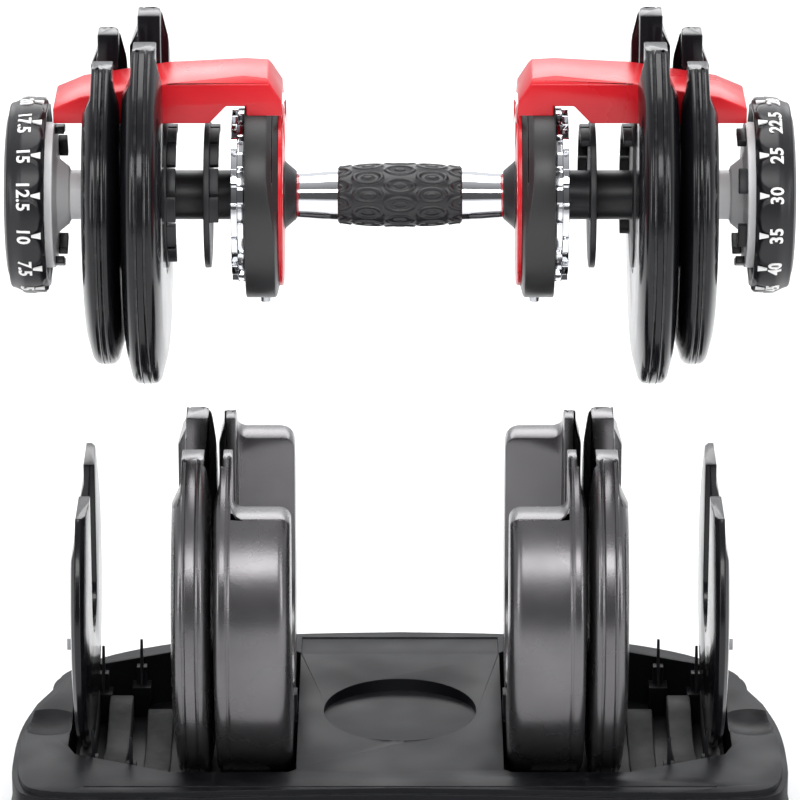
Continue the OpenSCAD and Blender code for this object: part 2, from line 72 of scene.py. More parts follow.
def span(node):
    """Inner face, outer face, half depth, lowest and highest point of a right-hand node, in mm."""
    lo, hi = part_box("right_" + node)
    centre = lifted_axis if lo[2] > resting_axis + 0.08 else resting_axis
    return [v / MM for v in (lo[0], hi[0], hi[1], lo[2] - centre, hi[2] - centre)]


DIAL_IN, DIAL_OUT, DIAL_R = span("dial_knob")[:3]
HOUSING_IN, HOUSING_OUT, HOUSING_W, _, HOUSING_H = span("end_housing")
TRIM_IN = span("housing_trim")[0]
BRIDGE_HALF = span("bridge_cover")[2]
CHANNEL = BRIDGE_HALF + 3.0
DISC_R = span("lift_discs")[2]
print("dial radius", round(DIAL_R, 1), "axes", round(lifted_axis, 4), round(resting_axis, 4))

# %% [markdown]
# ## Camera, floor and light first
# A small dumbbell is photographed from a few metres away with a long lens, so that the two ends
# stay nearly parallel. The floor is plain and pale. Black gloss shows only what it reflects, so
# the light is a set of large soft panels: their edges draw the long pale lines on the rims.

# %% Camera
CAMERA_BACK, CAMERA_UP, CAMERA_DOWN = 2.60, 1.202, 0.364
LENS = 243.0
camera = bpy.data.objects.new("camera", bpy.data.cameras.new("camera"))
camera.location = (0.0, -CAMERA_BACK, CAMERA_UP)
camera.rotation_euler = (math.pi / 2 - CAMERA_DOWN, 0.0, 0.0)
camera.data.lens = LENS
camera.data.sensor_width = 36.0
bpy.context.scene.collection.objects.link(camera)
bpy.context.scene.camera = camera
print("camera", [round(v, 3) for v in camera.location])


# %% Floor and soft panels
def soft_panel(name, place, aim, width, height, power):
    """A rectangular studio light that points at a spot."""
    light = bpy.data.lights.new(name, "AREA")
    light.shape = "RECTANGLE"
    light.size = width
    light.size_y = height
    light.energy = power
    lamp = bpy.data.objects.new(name, light)
    lamp.location = place
    lamp.rotation_euler = (Vector(aim) - Vector(place)).to_track_quat("-Z", "Y").to_euler()
    bpy.context.scene.collection.objects.link(lamp)
    return lamp


MIDDLE = (0.0, 0.0, 0.2)
soft_panel("overhead", (0.0, 0.2, 2.2), MIDDLE, 1.6, 1.2, 26)
soft_panel("front_left", (-1.9, -1.7, 1.0), MIDDLE, 0.5, 1.5, 13)
soft_panel("front_right", (1.9, -1.7, 1.0), MIDDLE, 0.5, 1.5, 13)
soft_panel("front_high", (0.0, -2.2, 1.9), MIDDLE, 2.4, 0.6, 34)
soft_panel("behind", (0.0, 2.2, 1.4), MIDDLE, 2.4, 0.9, 22)

# The room is bright above and behind the table and dim on the camera's side
world = bpy.data.worlds.new("studio")
world.use_nodes = True
sky = world.node_tree
toward = sky.nodes.new("ShaderNodeTexCoord")
parts = sky.nodes.new("ShaderNodeSeparateXYZ")
front = sky.nodes.new("ShaderNodeMapRange")
front.inputs["From Min"].default_value = -0.9
front.inputs["From Max"].default_value = 0.35
front.inputs["To Min"].default_value = 0.10
front.inputs["To Max"].default_value = 1.0
sky.links.new(toward.outputs["Generated"], parts.inputs["Vector"])
sky.links.new(parts.outputs["Y"], front.inputs["Value"])
sky.links.new(front.outputs["Result"], sky.nodes["Background"].inputs["Strength"])
sky.nodes["Background"].inputs["Color"].default_value = (0.96, 0.97, 1.0, 1.0)
bpy.context.scene.world = world
bpy.context.scene.view_settings.view_transform = "Standard"

floor_shape = bmesh.new()
bmesh.ops.create_grid(floor_shape, x_segments=1, y_segments=1, size=12.0)
floor_mesh = bpy.data.meshes.new("floor")
floor_shape.to_mesh(floor_mesh)
floor = bpy.data.objects.new("floor", floor_mesh)
bpy.context.scene.collection.objects.link(floor)

# %% [markdown]
# ## Effects that several finishes share
# Moulded plastic has a fine grain, handled parts have slightly smoother and rougher patches,
# sharp edges are rubbed paler, and what faces up gathers dust. Each of these is a shader node
# group with named inputs. A group gives out only masks, values and heights, and each material
# mixes them with its own numbers. They read Object coordinates, so nothing needs unwrapping.


# %% A small helper for node groups
def start_group(name, inputs, outputs):
    """A new shader group with float sockets; returns the tree and its two end nodes."""
    tree = bpy.data.node_groups.new(name, "ShaderNodeTree")
    for label, value in inputs:
        socket = tree.interface.new_socket(name=label, in_out="INPUT", socket_type="NodeSocketFloat")
        socket.default_value = value
    for label in outputs:
        tree.interface.new_socket(name=label, in_out="OUTPUT", socket_type="NodeSocketFloat")
    return tree, tree.nodes.new("NodeGroupInput"), tree.nodes.new("NodeGroupOutput")


def add(tree, kind, links=None, **settings):
    """Adds a node, sets its properties, and fills its inputs from sockets or values."""
    node = tree.nodes.new("ShaderNode" + kind)
    for key, value in settings.items():
        setattr(node, key, value)
    for key, value in (links or {}).items():
        if isinstance(value, bpy.types.NodeSocket):
            tree.links.new(value, node.inputs[key])
        else:
            node.inputs[key].default_value = value
    return node


# %% Grain, patches, worn edges, dust and brushing
def noise_on_object(tree, scale, detail, stretch=(1.0, 1.0, 1.0)):
    """Noise in Object coordinates, optionally stretched along an axis."""
    place = add(tree, "TexCoord").outputs["Object"]
    mapped = add(tree, "Mapping", {"Vector": place, "Scale": stretch})
    return add(tree, "TexNoise", {"Vector": mapped.outputs["Vector"], "Scale": scale, "Detail": detail})


grain_group, ends, out = start_group("moulded_grain", [("Scale", 900.0), ("Softness", 0.5)], ["Height"])
fine = noise_on_object(grain_group, 900.0, 2.0)
grain_group.links.new(ends.outputs["Scale"], fine.inputs["Scale"])
grain_group.links.new(ends.outputs["Softness"], fine.inputs["Roughness"])
grain_group.links.new(fine.outputs["Fac"], out.inputs["Height"])

patch_group, ends, out = start_group("handled_patches", [("Scale", 30.0), ("Low", 0.3), ("High", 0.5)], ["Value"])
slow = noise_on_object(patch_group, 30.0, 4.0)
patch_group.links.new(ends.outputs["Scale"], slow.inputs["Scale"])
spread = add(patch_group, "MapRange", {"Value": slow.outputs["Fac"], "From Min": 0.32, "From Max": 0.68,
                                       "To Min": ends.outputs["Low"], "To Max": ends.outputs["High"]})
patch_group.links.new(spread.outputs["Result"], out.inputs["Value"])

edge_group, ends, out = start_group("worn_edges", [("Radius", 0.0008), ("Amount", 0.5)], ["Mask"])
rounded = add(edge_group, "Bevel", {"Radius": ends.outputs["Radius"]}, samples=4)
geometry = add(edge_group, "NewGeometry")
alike = add(edge_group, "VectorMath", {0: rounded.outputs["Normal"], 1: geometry.outputs["Normal"]},
            operation="DOT_PRODUCT")
turned = add(edge_group, "MapRange", {"Value": alike.outputs["Value"], "From Min": 1.0, "From Max": 0.86})
broken = noise_on_object(edge_group, 160.0, 3.0)
patchy = add(edge_group, "MapRange", {"Value": broken.outputs["Fac"], "From Min": 0.40, "From Max": 0.62})
rubbed = add(edge_group, "Math", {0: turned.outputs["Result"], 1: patchy.outputs["Result"]}, operation="MULTIPLY")
scaled = add(edge_group, "Math", {0: rubbed.outputs["Value"], 1: ends.outputs["Amount"]}, operation="MULTIPLY")
edge_group.links.new(scaled.outputs["Value"], out.inputs["Mask"])

dust_group, ends, out = start_group("settled_dust", [("Amount", 0.1)], ["Mask"])
geometry = add(dust_group, "NewGeometry")
tilt = add(dust_group, "SeparateXYZ", {"Vector": geometry.outputs["Normal"]})
upward = add(dust_group, "MapRange", {"Value": tilt.outputs["Z"], "From Min": 0.55, "From Max": 1.0})
specks = noise_on_object(dust_group, 120.0, 8.0)
thick = add(dust_group, "MapRange", {"Value": specks.outputs["Fac"], "From Min": 0.38, "From Max": 0.75})
fallen = add(dust_group, "Math", {0: upward.outputs["Result"], 1: thick.outputs["Result"]}, operation="MULTIPLY")
scaled = add(dust_group, "Math", {0: fallen.outputs["Value"], 1: ends.outputs["Amount"]}, operation="MULTIPLY")
dust_group.links.new(scaled.outputs["Value"], out.inputs["Mask"])

brush_group, ends, out = start_group("turning_lines", [("Scale", 60.0)], ["Height"])
lines = noise_on_object(brush_group, 60.0, 3.0, stretch=(40.0, 1.0, 1.0))
brush_group.links.new(ends.outputs["Scale"], lines.inputs["Scale"])
brush_group.links.new(lines.outputs["Fac"], out.inputs["Height"])
print("groups", [g.name for g in bpy.data.node_groups])

# %% [markdown]
# ## The finishes
# One function lays out a material: a colour with slow variation, paler worn edges, dust on top,
# a roughness that wanders between two values, and a fine bump. Every finish below is one call with
# its own numbers. What is the same all over a surface is set straight on the shader's socket.


# %% The function that lays out a finish
def use(tree, group, **values):
    """Places a node group in a material with its own values."""
    node = tree.nodes.new("ShaderNodeGroup")
    node.node_tree = group
    for label, value in values.items():
        node.inputs[label].default_value = value
    return node


def blend_colour(tree, mask, below, above):
    """A colour mix whose factor is a mask; the colours may be sockets or values."""
    node = add(tree, "Mix", {"Factor": mask}, data_type="RGBA")
    for index, value in ((6, below), (7, above)):
        if isinstance(value, bpy.types.NodeSocket):
            tree.links.new(value, node.inputs[index])
        else:
            node.inputs[index].default_value = (*value, 1.0)
    return node.outputs[2]


FINISHES = {}


def finish(name, colour, rough, metallic=0.0, coat=0.0, coat_rough=0.08, vary=0.12, patch=30.0,
           edge=None, edge_amount=0.5, dust=0.0, bump="grain", scale=900.0, depth=0.00002, specular=0.5):
    """A procedural material: colour, wear, dust, roughness and bump."""
    material = bpy.data.materials.new(name)
    material.use_nodes = True
    tree = material.node_tree
    shader = tree.nodes["Principled BSDF"]
    shader.inputs["Metallic"].default_value = metallic
    shader.inputs["Coat Weight"].default_value = coat
    shader.inputs["Coat Roughness"].default_value = coat_rough
    shader.inputs["Specular IOR Level"].default_value = specular
    tone = use(tree, patch_group, Scale=patch * 0.7, Low=0.0, High=1.0)
    darker = [c * (1.0 - vary) for c in colour]
    paler = [min(1.0, c * (1.0 + vary)) for c in colour]
    shown = blend_colour(tree, tone.outputs["Value"], darker, paler)
    if edge:
        worn = use(tree, edge_group, Radius=0.0007, Amount=edge_amount)
        shown = blend_colour(tree, worn.outputs["Mask"], shown, edge)
    if dust:
        settled = use(tree, dust_group, Amount=dust)
        shown = blend_colour(tree, settled.outputs["Mask"], shown, (0.42, 0.41, 0.39))
    tree.links.new(shown, shader.inputs["Base Color"])
    gloss = use(tree, patch_group, Scale=patch, Low=rough[0], High=rough[1])
    tree.links.new(gloss.outputs["Value"], shader.inputs["Roughness"])
    if bump == "grain":
        height = use(tree, grain_group, Scale=scale, Softness=0.55)
    else:
        height = use(tree, brush_group, Scale=scale)
    relief = add(tree, "Bump", {"Height": height.outputs["Height"], "Distance": depth, "Strength": 1.0})
    tree.links.new(relief.outputs["Normal"], shader.inputs["Normal"])
    FINISHES[name] = material
    return material


# %% Plastics and rubber
finish("tray_plastic", (0.006, 0.0063, 0.008), (0.38, 0.52), edge=(0.08, 0.08, 0.09), edge_amount=0.4,
       dust=0.02, scale=1100.0, depth=0.00004, specular=0.16)
finish("foot_rubber", (0.020, 0.020, 0.021), (0.62, 0.78), dust=0.1, scale=700.0, depth=0.00004)
finish("grip_rubber", (0.012, 0.012, 0.014), (0.30, 0.40), edge=(0.07, 0.07, 0.075), edge_amount=0.3,
       dust=0.05, scale=1500.0, depth=0.00003, specular=0.45)
finish("disc_plastic", (0.014, 0.014, 0.016), (0.34, 0.48), edge=(0.09, 0.09, 0.095), edge_amount=0.4,
       scale=1300.0, depth=0.00002, specular=0.4)
finish("housing_plastic", (0.026, 0.026, 0.027), (0.30, 0.42), edge=(0.13, 0.13, 0.135), edge_amount=0.4,
       dust=0.05, scale=1600.0, depth=0.00005, specular=0.42)
finish("red_plastic", (0.62, 0.006, 0.014), (0.26, 0.36), coat=0.12, coat_rough=0.2, vary=0.05,
       edge=(0.86, 0.16, 0.17), edge_amount=0.6, scale=1300.0, depth=0.000015, specular=0.4)
finish("dial_plastic", (0.011, 0.011, 0.013), (0.30, 0.42), edge=(0.10, 0.10, 0.11), edge_amount=0.35,
       dust=0.04, scale=1500.0, depth=0.00002, specular=0.38)
finish("cam_plastic", (0.92, 0.92, 0.93), (0.34, 0.46), vary=0.03, scale=1300.0, depth=0.00001)
finish("number_white", (0.86, 0.86, 0.85), (0.40, 0.52), vary=0.04, scale=1500.0, depth=0.00001)
print("plastics", list(FINISHES))

# %% Metals and coated weights
finish("steel", (0.52, 0.53, 0.55), (0.24, 0.36), metallic=1.0, vary=0.08, bump="lines", scale=50.0,
       depth=0.00001)
finish("chrome", (0.80, 0.81, 0.84), (0.05, 0.10), metallic=1.0, vary=0.03, bump="lines", scale=90.0,
       depth=0.000003)
finish("weight_gloss", (0.005, 0.005, 0.0065), (0.18, 0.26), coat=0.22, coat_rough=0.08, vary=0.2,
       edge=(0.06, 0.06, 0.065), edge_amount=0.4, dust=0.02, scale=1000.0, depth=0.00002, specular=0.26)
finish("weight_satin", (0.135, 0.13, 0.135), (0.24, 0.31), coat=0.2, coat_rough=0.16, vary=0.15,
       edge=(0.09, 0.09, 0.09), edge_amount=0.5, dust=0.03, scale=1000.0, depth=0.00003, metallic=0.85)
finish("floor_pale", (0.90, 0.90, 0.90), (0.55, 0.65), vary=0.01, scale=60.0, depth=0.00002)
floor_mesh.materials.append(FINISHES["floor_pale"])
print("finishes", len(FINISHES))

# %% [markdown]
# ## Shapes from operators
# Turned parts are a profile of radius and X, spun about the handle's axis. Flat parts are an
# outline pushed along X or Y. Channels and recesses are cut with a boolean, and every sharp edge
# that is left gets a small bevel, because no real edge is perfectly sharp and the bevel is what
# catches the light.


# %% Spin, push and cut
def spun(profile, steps=144):
    """A closed solid from [radius, x] points in mm, turned about X."""
    shape = bmesh.new()
    verts = [shape.verts.new((x * MM, 0.0, r * MM)) for r, x in profile]
    ring = profile[0][0] > 0 and profile[-1][0] > 0
    edges = [shape.edges.new(pair) for pair in zip(verts, verts[1:] + verts[:1] if ring else verts[1:])]
    bmesh.ops.spin(shape, geom=verts + edges, cent=(0, 0, 0), axis=(1, 0, 0), angle=2 * math.pi,
                   steps=steps, use_merge=True, use_duplicate=False)
    bmesh.ops.remove_doubles(shape, verts=shape.verts, dist=1e-7)
    bmesh.ops.recalc_face_normals(shape, faces=shape.faces)
    return shape


def pushed(outline, low, high, along="X"):
    """A prism from an outline in mm: (y, z) points pushed along X, or (x, z) points along Y."""
    shape = bmesh.new()
    if along == "X":
        verts = [shape.verts.new((low * MM, a * MM, b * MM)) for a, b in outline]
        step = ((high - low) * MM, 0, 0)
    else:
        verts = [shape.verts.new((a * MM, low * MM, b * MM)) for a, b in outline]
        step = (0, (high - low) * MM, 0)
    face = shape.faces.new(verts)
    grown = bmesh.ops.extrude_face_region(shape, geom=[face])
    bmesh.ops.translate(shape, vec=step, verts=[v for v in grown["geom"] if isinstance(v, bmesh.types.BMVert)])
    bmesh.ops.recalc_face_normals(shape, faces=shape.faces)
    return shape


def scratch_object(shape):
    """A short-lived object that holds a shape while a boolean reads it."""
    mesh = bpy.data.meshes.new("scratch")
    shape.to_mesh(mesh)
    shape.free()
    holder = bpy.data.objects.new("scratch", mesh)
    bpy.context.scene.collection.objects.link(holder)
    return holder


def one_boolean(shape, tool, operation, solver):
    """The two shapes joined, or the first less the second; both are used up."""
    base, holder = scratch_object(shape), scratch_object(tool)
    modifier = base.modifiers.new("cut", "BOOLEAN")
    modifier.operation = operation
    modifier.solver = solver
    modifier.object = holder
    made = bmesh.new()
    made.from_object(base, bpy.context.evaluated_depsgraph_get())
    for used in (base, holder):
        mesh = used.data
        bpy.data.objects.remove(used)
        bpy.data.meshes.remove(mesh)
    bmesh.ops.remove_doubles(made, verts=made.verts, dist=2e-6)
    return made


ATTEMPTS = [("MANIFOLD", 0.0), ("EXACT", 0.0), ("EXACT", 0.004), ("MANIFOLD", 0.004), ("EXACT", -0.007)]


def cut(shape, *tools, operation="DIFFERENCE"):
    """The shape less, or joined with, each tool in turn; a tool that fails is tried in another way."""
    for tool in tools:
        least = 0.05 * shape.calc_volume()
        for solver, nudge in ATTEMPTS:
            moved = tool.copy()
            bmesh.ops.translate(moved, vec=(nudge * MM, nudge * MM, nudge * MM), verts=moved.verts)
            made = one_boolean(shape.copy(), moved, operation, solver)
            if made.calc_volume() > least:
                shape.free()
                shape = made
                break
            made.free()
            print("boolean tried again after", solver, nudge)
        tool.free()
    return shape


def tidy(shape, degrees=0.5):
    """Melts the seams between faces that lie in one plane."""
    bmesh.ops.dissolve_limit(shape, angle_limit=math.radians(degrees), verts=shape.verts, edges=shape.edges,
                             delimit={"NORMAL"})
    return shape


def eased(shape, width, segments=2, degrees=28.0):
    """Rounds every edge that is sharper than an angle; width in mm."""
    sharp = [e for e in shape.edges if e.is_manifold and e.calc_face_angle(0.0) > math.radians(degrees)]
    bmesh.ops.bevel(shape, geom=sharp, offset=width * MM, offset_type="OFFSET", segments=segments,
                    profile=0.5, affect="EDGES", clamp_overlap=False, material=-1)
    return shape


def half_moon(half, top, steps=24):
    """A channel outline: a half circle below the axis and straight sides up to the top."""
    arc = [(-half * math.cos(math.pi * i / steps), -half * math.sin(math.pi * i / steps))
           for i in range(steps + 1)]
    return [(-half, top)] + arc + [(half, top)]


# %% Place a finished piece
PIECES = []


def set_down(shape, name, body, material, nodes, side="right", axis=None, flip_y=False, degrees=30.0):
    """Mirrors, raises and names a piece, parents it to the body it rides on, and hides the imported nodes it replaces.
    """
    if axis is not None:
        bmesh.ops.scale(shape, vec=(SIDES[side], -1 if flip_y else 1, 1), verts=shape.verts)
        bmesh.ops.translate(shape, vec=(0, 0, axis), verts=shape.verts)
        if SIDES[side] * (-1 if flip_y else 1) < 0:
            bmesh.ops.reverse_faces(shape, faces=shape.faces)
    mesh = bpy.data.meshes.new(name)
    shape.to_mesh(mesh)
    shape.free()
    mesh.shade_smooth()
    mesh.set_sharp_from_angle(angle=math.radians(degrees))
    mesh.materials.append(FINISHES[material])
    piece = bpy.data.objects.new(name, mesh)
    bpy.context.scene.collection.objects.link(piece)
    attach(piece, body)
    if nodes:
        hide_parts(*nodes)
    PIECES.append(piece)
    return piece


def both_ends(shape, name, body, material, nodes, axis, turned=False, degrees=30.0):
    """Sets a right-hand shape down at both ends; nodes are given without their side."""
    for side in SIDES:
        whose = body if body in ("handle", "tray") else f"{side}_{body}"
        set_down(shape.copy(), f"{side}_{name}", whose, material, [f"{side}_{n}" for n in nodes],
                 side, axis, turned and side == "left", degrees)
    shape.free()


print("helpers ready, channel half width", round(CHANNEL, 2), "mm")

# %% [markdown]
# ## The weight plates
# Each plate is a thick disc with a narrow rim between two broad bevels. A channel as wide as the
# bridge runs from its middle to the top, so the plate can slide off the handle, and flat recesses
# in its faces let a lift disc lie between two plates. Spinning the profile gives an even rim; the
# channel and the recesses are cut afterwards. Two fine lines run round the rim, and the outboard
# side of each horn is sloped back so that the handle finds its way in.


# %% Plates one to four
TAB_POCKET = DISC_R + 3.0


def rim_profile(r, x0, x1, bevel, narrow, lines=True):
    """A plate's half section: hub, broad bevel, rounded rim with two fine lines, and back."""
    round_in = min(3.0, (x1 - x0) / 2 - narrow - 0.6)
    middle = [[r - 0.15, x0 + narrow + round_in / 2], [r, x0 + narrow + round_in]]
    if lines:
        a, b = x0 + narrow + 3.4, x1 - narrow - 3.4
        middle += [[r - 0.5, a + 0.25], [r - 0.5, a + 0.55], [r, a + 0.8], [r, b - 0.8],
                   [r - 0.5, b - 0.55], [r - 0.5, b - 0.25]]
    middle += [[r, x1 - narrow - round_in], [r - 0.15, x1 - narrow - round_in / 2]]
    low = [[r - bevel - 3, x0], [r - bevel, x0 + 0.4], [r - 2.6, x0 + narrow - 0.9], [r - 0.9, x0 + narrow + 0.5]]
    high = [[radius, x1 - (x - x0)] for radius, x in reversed(low)]
    return [[0, x0], [r - bevel - 12, x0]] + low + middle + high + [[r - bevel - 12, x1], [0, x1]]


def plate_shape(number, bevel, narrow, deep_in, deep_out, slope, ease):
    """A plate in its own place, cut, sloped and eased."""
    x0, x1, r, _, horn = span(f"plate_{number}")
    shape = spun(rim_profile(r, x0, x1, bevel, narrow, lines=x1 - x0 > 12), steps=160)
    tools = [pushed(half_moon(CHANNEL, r + 5), x0 - 1, x1 + 1),
             pushed([(-r - 1, horn), (r + 1, horn), (r + 1, r + 9), (-r - 1, r + 9)], x0 - 1, x1 + 1)]
    if deep_in:
        tools.append(pushed(half_moon(TAB_POCKET, r + 6), x0 - 1, x0 + deep_in))
    if deep_out:
        tools.append(pushed(half_moon(TAB_POCKET, r + 6), x1 - deep_out, x1 + 1))
    # The sloped shoulder on the outboard side of the horns
    tools.append(pushed([(x1 + 1, horn - 24), (x1 + 0.01, horn - 22), (x1 - slope, horn - 11),
                         (x1 - slope, horn + 9), (x1 + 1, horn + 9)], -r - 2, r + 2, along="Y"))
    return eased(tidy(cut(shape, *tools), 0.2), ease)


both_ends(plate_shape(1, 9.0, 1.9, 0, 0, 2.6, 0.5), "thin_plate", "weight_1", "weight_gloss",
          ["plate_1"], resting_axis)
both_ends(plate_shape(2, 12.0, 4.0, 3.5, 4.0, 4.6, 0.8), "outer_carried_plate", "weight_2", "weight_gloss",
          ["plate_2"], lifted_axis)
both_ends(plate_shape(3, 13.0, 4.0, 3.5, 4.5, 5.0, 0.8), "inner_carried_plate", "weight_3", "weight_gloss",
          ["plate_3"], lifted_axis)
both_ends(plate_shape(4, 13.0, 3.0, 3.5, 4.5, 5.0, 0.8), "stored_plate", "weight_4", "weight_satin",
          ["plate_4"], resting_axis)
print("plates", [p.name for p in PIECES if "plate" in p.name])

# %% [markdown]
# The innermost plate also fills the room round the end housing, so a wide block with an oval
# cavity is joined to its web. The block's top meets the web in a hollow fillet and rolls over at
# its inner edge; one outline with two arcs, pushed across the plate, cuts both.


# %% The innermost plate
def arc(cx, cz, r, start, end, steps=8):
    """Points of an arc in mm, angles in degrees."""
    turns = [math.radians(start + (end - start) * i / steps) for i in range(steps + 1)]
    return [(cx + r * math.cos(t), cz + r * math.sin(t)) for t in turns]


def oval(a, b, steps=72):
    """An upright ellipse in the Y-Z plane, in mm."""
    return [(a * math.cos(2 * math.pi * i / steps), b * math.sin(2 * math.pi * i / steps)) for i in range(steps)]


WEB, SHOULDER, FILLET = 9.5, 21.0, 6.0
block_x, web_out, inner_r, _, horn = span("plate_5")
web_x = web_out - WEB
top = horn - SHOULDER
lug_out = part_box("release_lugs")[1][0] / MM
block = spun([[0, block_x], [inner_r - 7.5, block_x], [inner_r - 4.6, block_x + 0.7], [inner_r - 2.2, block_x + 2.2],
              [inner_r - 0.7, block_x + 4.4], [inner_r, block_x + 7], [inner_r, web_x + 1.2], [inner_r - 2, web_x + 3],
              [0, web_x + 3]], steps=160)
above = [(block_x - 1, top - FILLET)] + list(reversed(arc(block_x + FILLET, top - FILLET, FILLET, 90, 180)))
above += arc(web_x - FILLET, top + FILLET, FILLET, -90, 0) + [(web_x, inner_r + 9), (block_x - 1, inner_r + 9)]
block = cut(block, pushed(above, -inner_r - 2, inner_r + 2, along="Y"),
            pushed(oval(HOUSING_W + 3, HOUSING_H + 3), block_x - 1, web_x),
            pushed([(-HOUSING_W - 3, 0), (HOUSING_W + 3, 0), (HOUSING_W + 3, inner_r), (-HOUSING_W - 3, inner_r)],
                   block_x - 1, web_x),
            pushed([(-7, -inner_r - 1), (7, -inner_r - 1), (7, 0), (-7, 0)], block_x - 1, lug_out + 2.5))
web = spun(rim_profile(inner_r, web_x, web_out, 10.0, 1.4, lines=False), steps=160)
inner_plate = cut(web, block, operation="UNION")
inner_plate = cut(inner_plate, pushed(half_moon(CHANNEL, inner_r + 5), block_x - 2, web_out + 1),
                  pushed(half_moon(TAB_POCKET, inner_r + 6), web_out - 4.5, web_out + 1.3),
                  pushed([(-99, horn), (99, horn), (99, horn + 20), (-99, horn + 20)], web_x - 1, web_out + 1.6),
                  pushed([(web_out + 1, horn - 24), (web_out + 0.01, horn - 22), (web_out - 3, horn - 11),
                          (web_out - 3, horn + 9), (web_out + 1, horn + 9)], -99, 99, along="Y"))
inner_plate = eased(tidy(inner_plate, 0.2), 0.8)
both_ends(inner_plate, "inner_stored_plate", "weight_5", "weight_satin", ["plate_5"], resting_axis)
print("inner plate faces", len(PIECES[-1].data.polygons))

# %% [markdown]
# ## The selector dials
# Fifteen settings stand round each dial, one every 24 degrees. Each number lies in a raised tongue
# whose tip points at the cam, and the dial is scooped out between the tips for the fingers. A
# boolean would leave hard corners here, so the dial is spun as a fine grid and its points are
# pressed in by a smooth function of the distance from the nearest tongue.

# %% The dial
SETTINGS = ["5", "7.5", "10", "12.5", "15", "17.5", "20", "22.5", "25", "30", "35", "40", "45", "50", "52.5"]
SHOWN = SETTINGS.index("20")
STEP = 2 * math.pi / len(SETTINGS)
TONGUE_HALF, TONGUE_TIP, TONGUE_LONG = 8.8, 1.2, 8.6
axle_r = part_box("axle")[1][1] / MM
DIAL_LONG = DIAL_OUT - DIAL_IN


def ramp(x, low, high):
    """0 below low, 1 above high, and a smooth rise between."""
    t = np.clip((x - low) / (high - low), 0.0, 1.0)
    return t * t * (3 - 2 * t)


def barrel(depth):
    """The dial's radius at a depth from its inboard rim, in mm."""
    inner, outer = 0.9 * (1 - ramp(depth, 0, 3)), 2.6 * ramp(depth, 0.52 * DIAL_LONG, 0.91 * DIAL_LONG)
    return DIAL_R - inner - outer - 4.5 * ramp(depth, 0.86 * DIAL_LONG, DIAL_LONG + 0.2) ** 2


ROW_STEP, LAST_ROW = 0.45, DIAL_LONG - 1.6
rows = [i * ROW_STEP for i in range(1, int(LAST_ROW / ROW_STEP) + 1)]
dial_profile = [[axle_r + 0.3, DIAL_IN + 2.6], [DIAL_R - 7.2, DIAL_IN + 2.6], [DIAL_R - 6, DIAL_IN + 2.2],
                [DIAL_R - 6, DIAL_IN + 0.5], [DIAL_R - 5.5, DIAL_IN], [DIAL_R - 1.6, DIAL_IN],
                [DIAL_R - 1.0, DIAL_IN + 0.2]]
dial_profile += [[float(barrel(d)), DIAL_IN + d] for d in rows]
dial_profile += [[DIAL_R - 7.0, DIAL_OUT - 1.0], [DIAL_R - 9.2, DIAL_OUT - 0.2], [DIAL_R - 11, DIAL_OUT],
                 [DIAL_R - 13.4, DIAL_OUT], [DIAL_R - 14.3, DIAL_OUT - 0.6],
                 [DIAL_R - 14.6, DIAL_OUT - 2.6], [axle_r + 0.3, DIAL_OUT - 2.6]]
dial = spun(dial_profile, steps=len(SETTINGS) * 24)
for vert in dial.verts:
    x, y, z = (c / MM for c in vert.co)
    radius, depth = math.hypot(y, z), x - DIAL_IN
    if radius < DIAL_R - 5.2 or depth > LAST_ROW:
        continue
    turn = math.atan2(z, -y) / STEP
    across = abs(turn - round(turn - 0.25) - 0.25) * STEP * radius
    reach = (TONGUE_TIP + TONGUE_LONG - depth) / TONGUE_LONG
    half = TONGUE_HALF * math.sqrt(max(0.0, 1 - max(0.0, reach) ** 2)) if reach < 1 else 0.0
    away = across - half if reach < 1 else math.hypot(across, (TONGUE_TIP - depth))
    press = 1.9 * float(ramp(away, 0.1, 4.2)) * float(1 - ramp(depth, 6.5, 14.0))
    press += 0.45 * math.exp(-(away / 0.5) ** 2) * float(1 - ramp(depth, 11.0, 17.0))
    scale = (radius - press) / radius
    vert.co.y *= scale
    vert.co.z *= scale
both_ends(dial, "numbered_dial", "selector", "dial_plastic", ["dial_knob"], lifted_axis, turned=True,
          degrees=50.0)
print("dial faces", len(PIECES[-1].data.polygons))

# %% [markdown]
# The numbers are text, made a mesh, stretched to height and wrapped round the barrel. Their tops
# point inboard, and the two dials run opposite ways because the left one is the right one turned
# end for end. A small white wedge under each number points at the middle of the handle.


# %% Numbers and wedges
DIGIT_HEIGHT, DIGIT_DEPTH, PROUD = 6.6, 10.6, 0.22


def flat_text(words):
    """Centred digits as a mesh, one unit high, with a little thickness."""
    curve = bpy.data.curves.new("digits", "FONT")
    curve.body = words
    curve.align_x, curve.align_y = "CENTER", "CENTER"
    curve.size, curve.offset, curve.extrude = 1.4, 0.034, 0.05
    curve.space_character = 1.06
    curve.resolution_u = 3
    holder = bpy.data.objects.new("digits", curve)
    bpy.context.scene.collection.objects.link(holder)
    shape = bmesh.new()
    shape.from_mesh(holder.to_mesh())
    bpy.data.objects.remove(holder)
    bpy.data.curves.remove(curve)
    bmesh.ops.remove_doubles(shape, verts=shape.verts, dist=1e-5)
    return shape


def wedge():
    """The pointer beside a number: wide inboard, narrow outboard, in mm."""
    outline = [(-1.75, 9.0), (-0.55, 4.3), (0.55, 4.3), (1.75, 9.0)]
    shape = bmesh.new()
    face = shape.faces.new([shape.verts.new((u, v, -0.4)) for u, v in reversed(outline)])
    grown = bmesh.ops.extrude_face_region(shape, geom=[face])
    bmesh.ops.translate(shape, vec=(0, 0, 0.8), verts=[v for v in grown["geom"] if isinstance(v, bmesh.types.BMVert)])
    bmesh.ops.recalc_face_normals(shape, faces=shape.faces)
    return shape


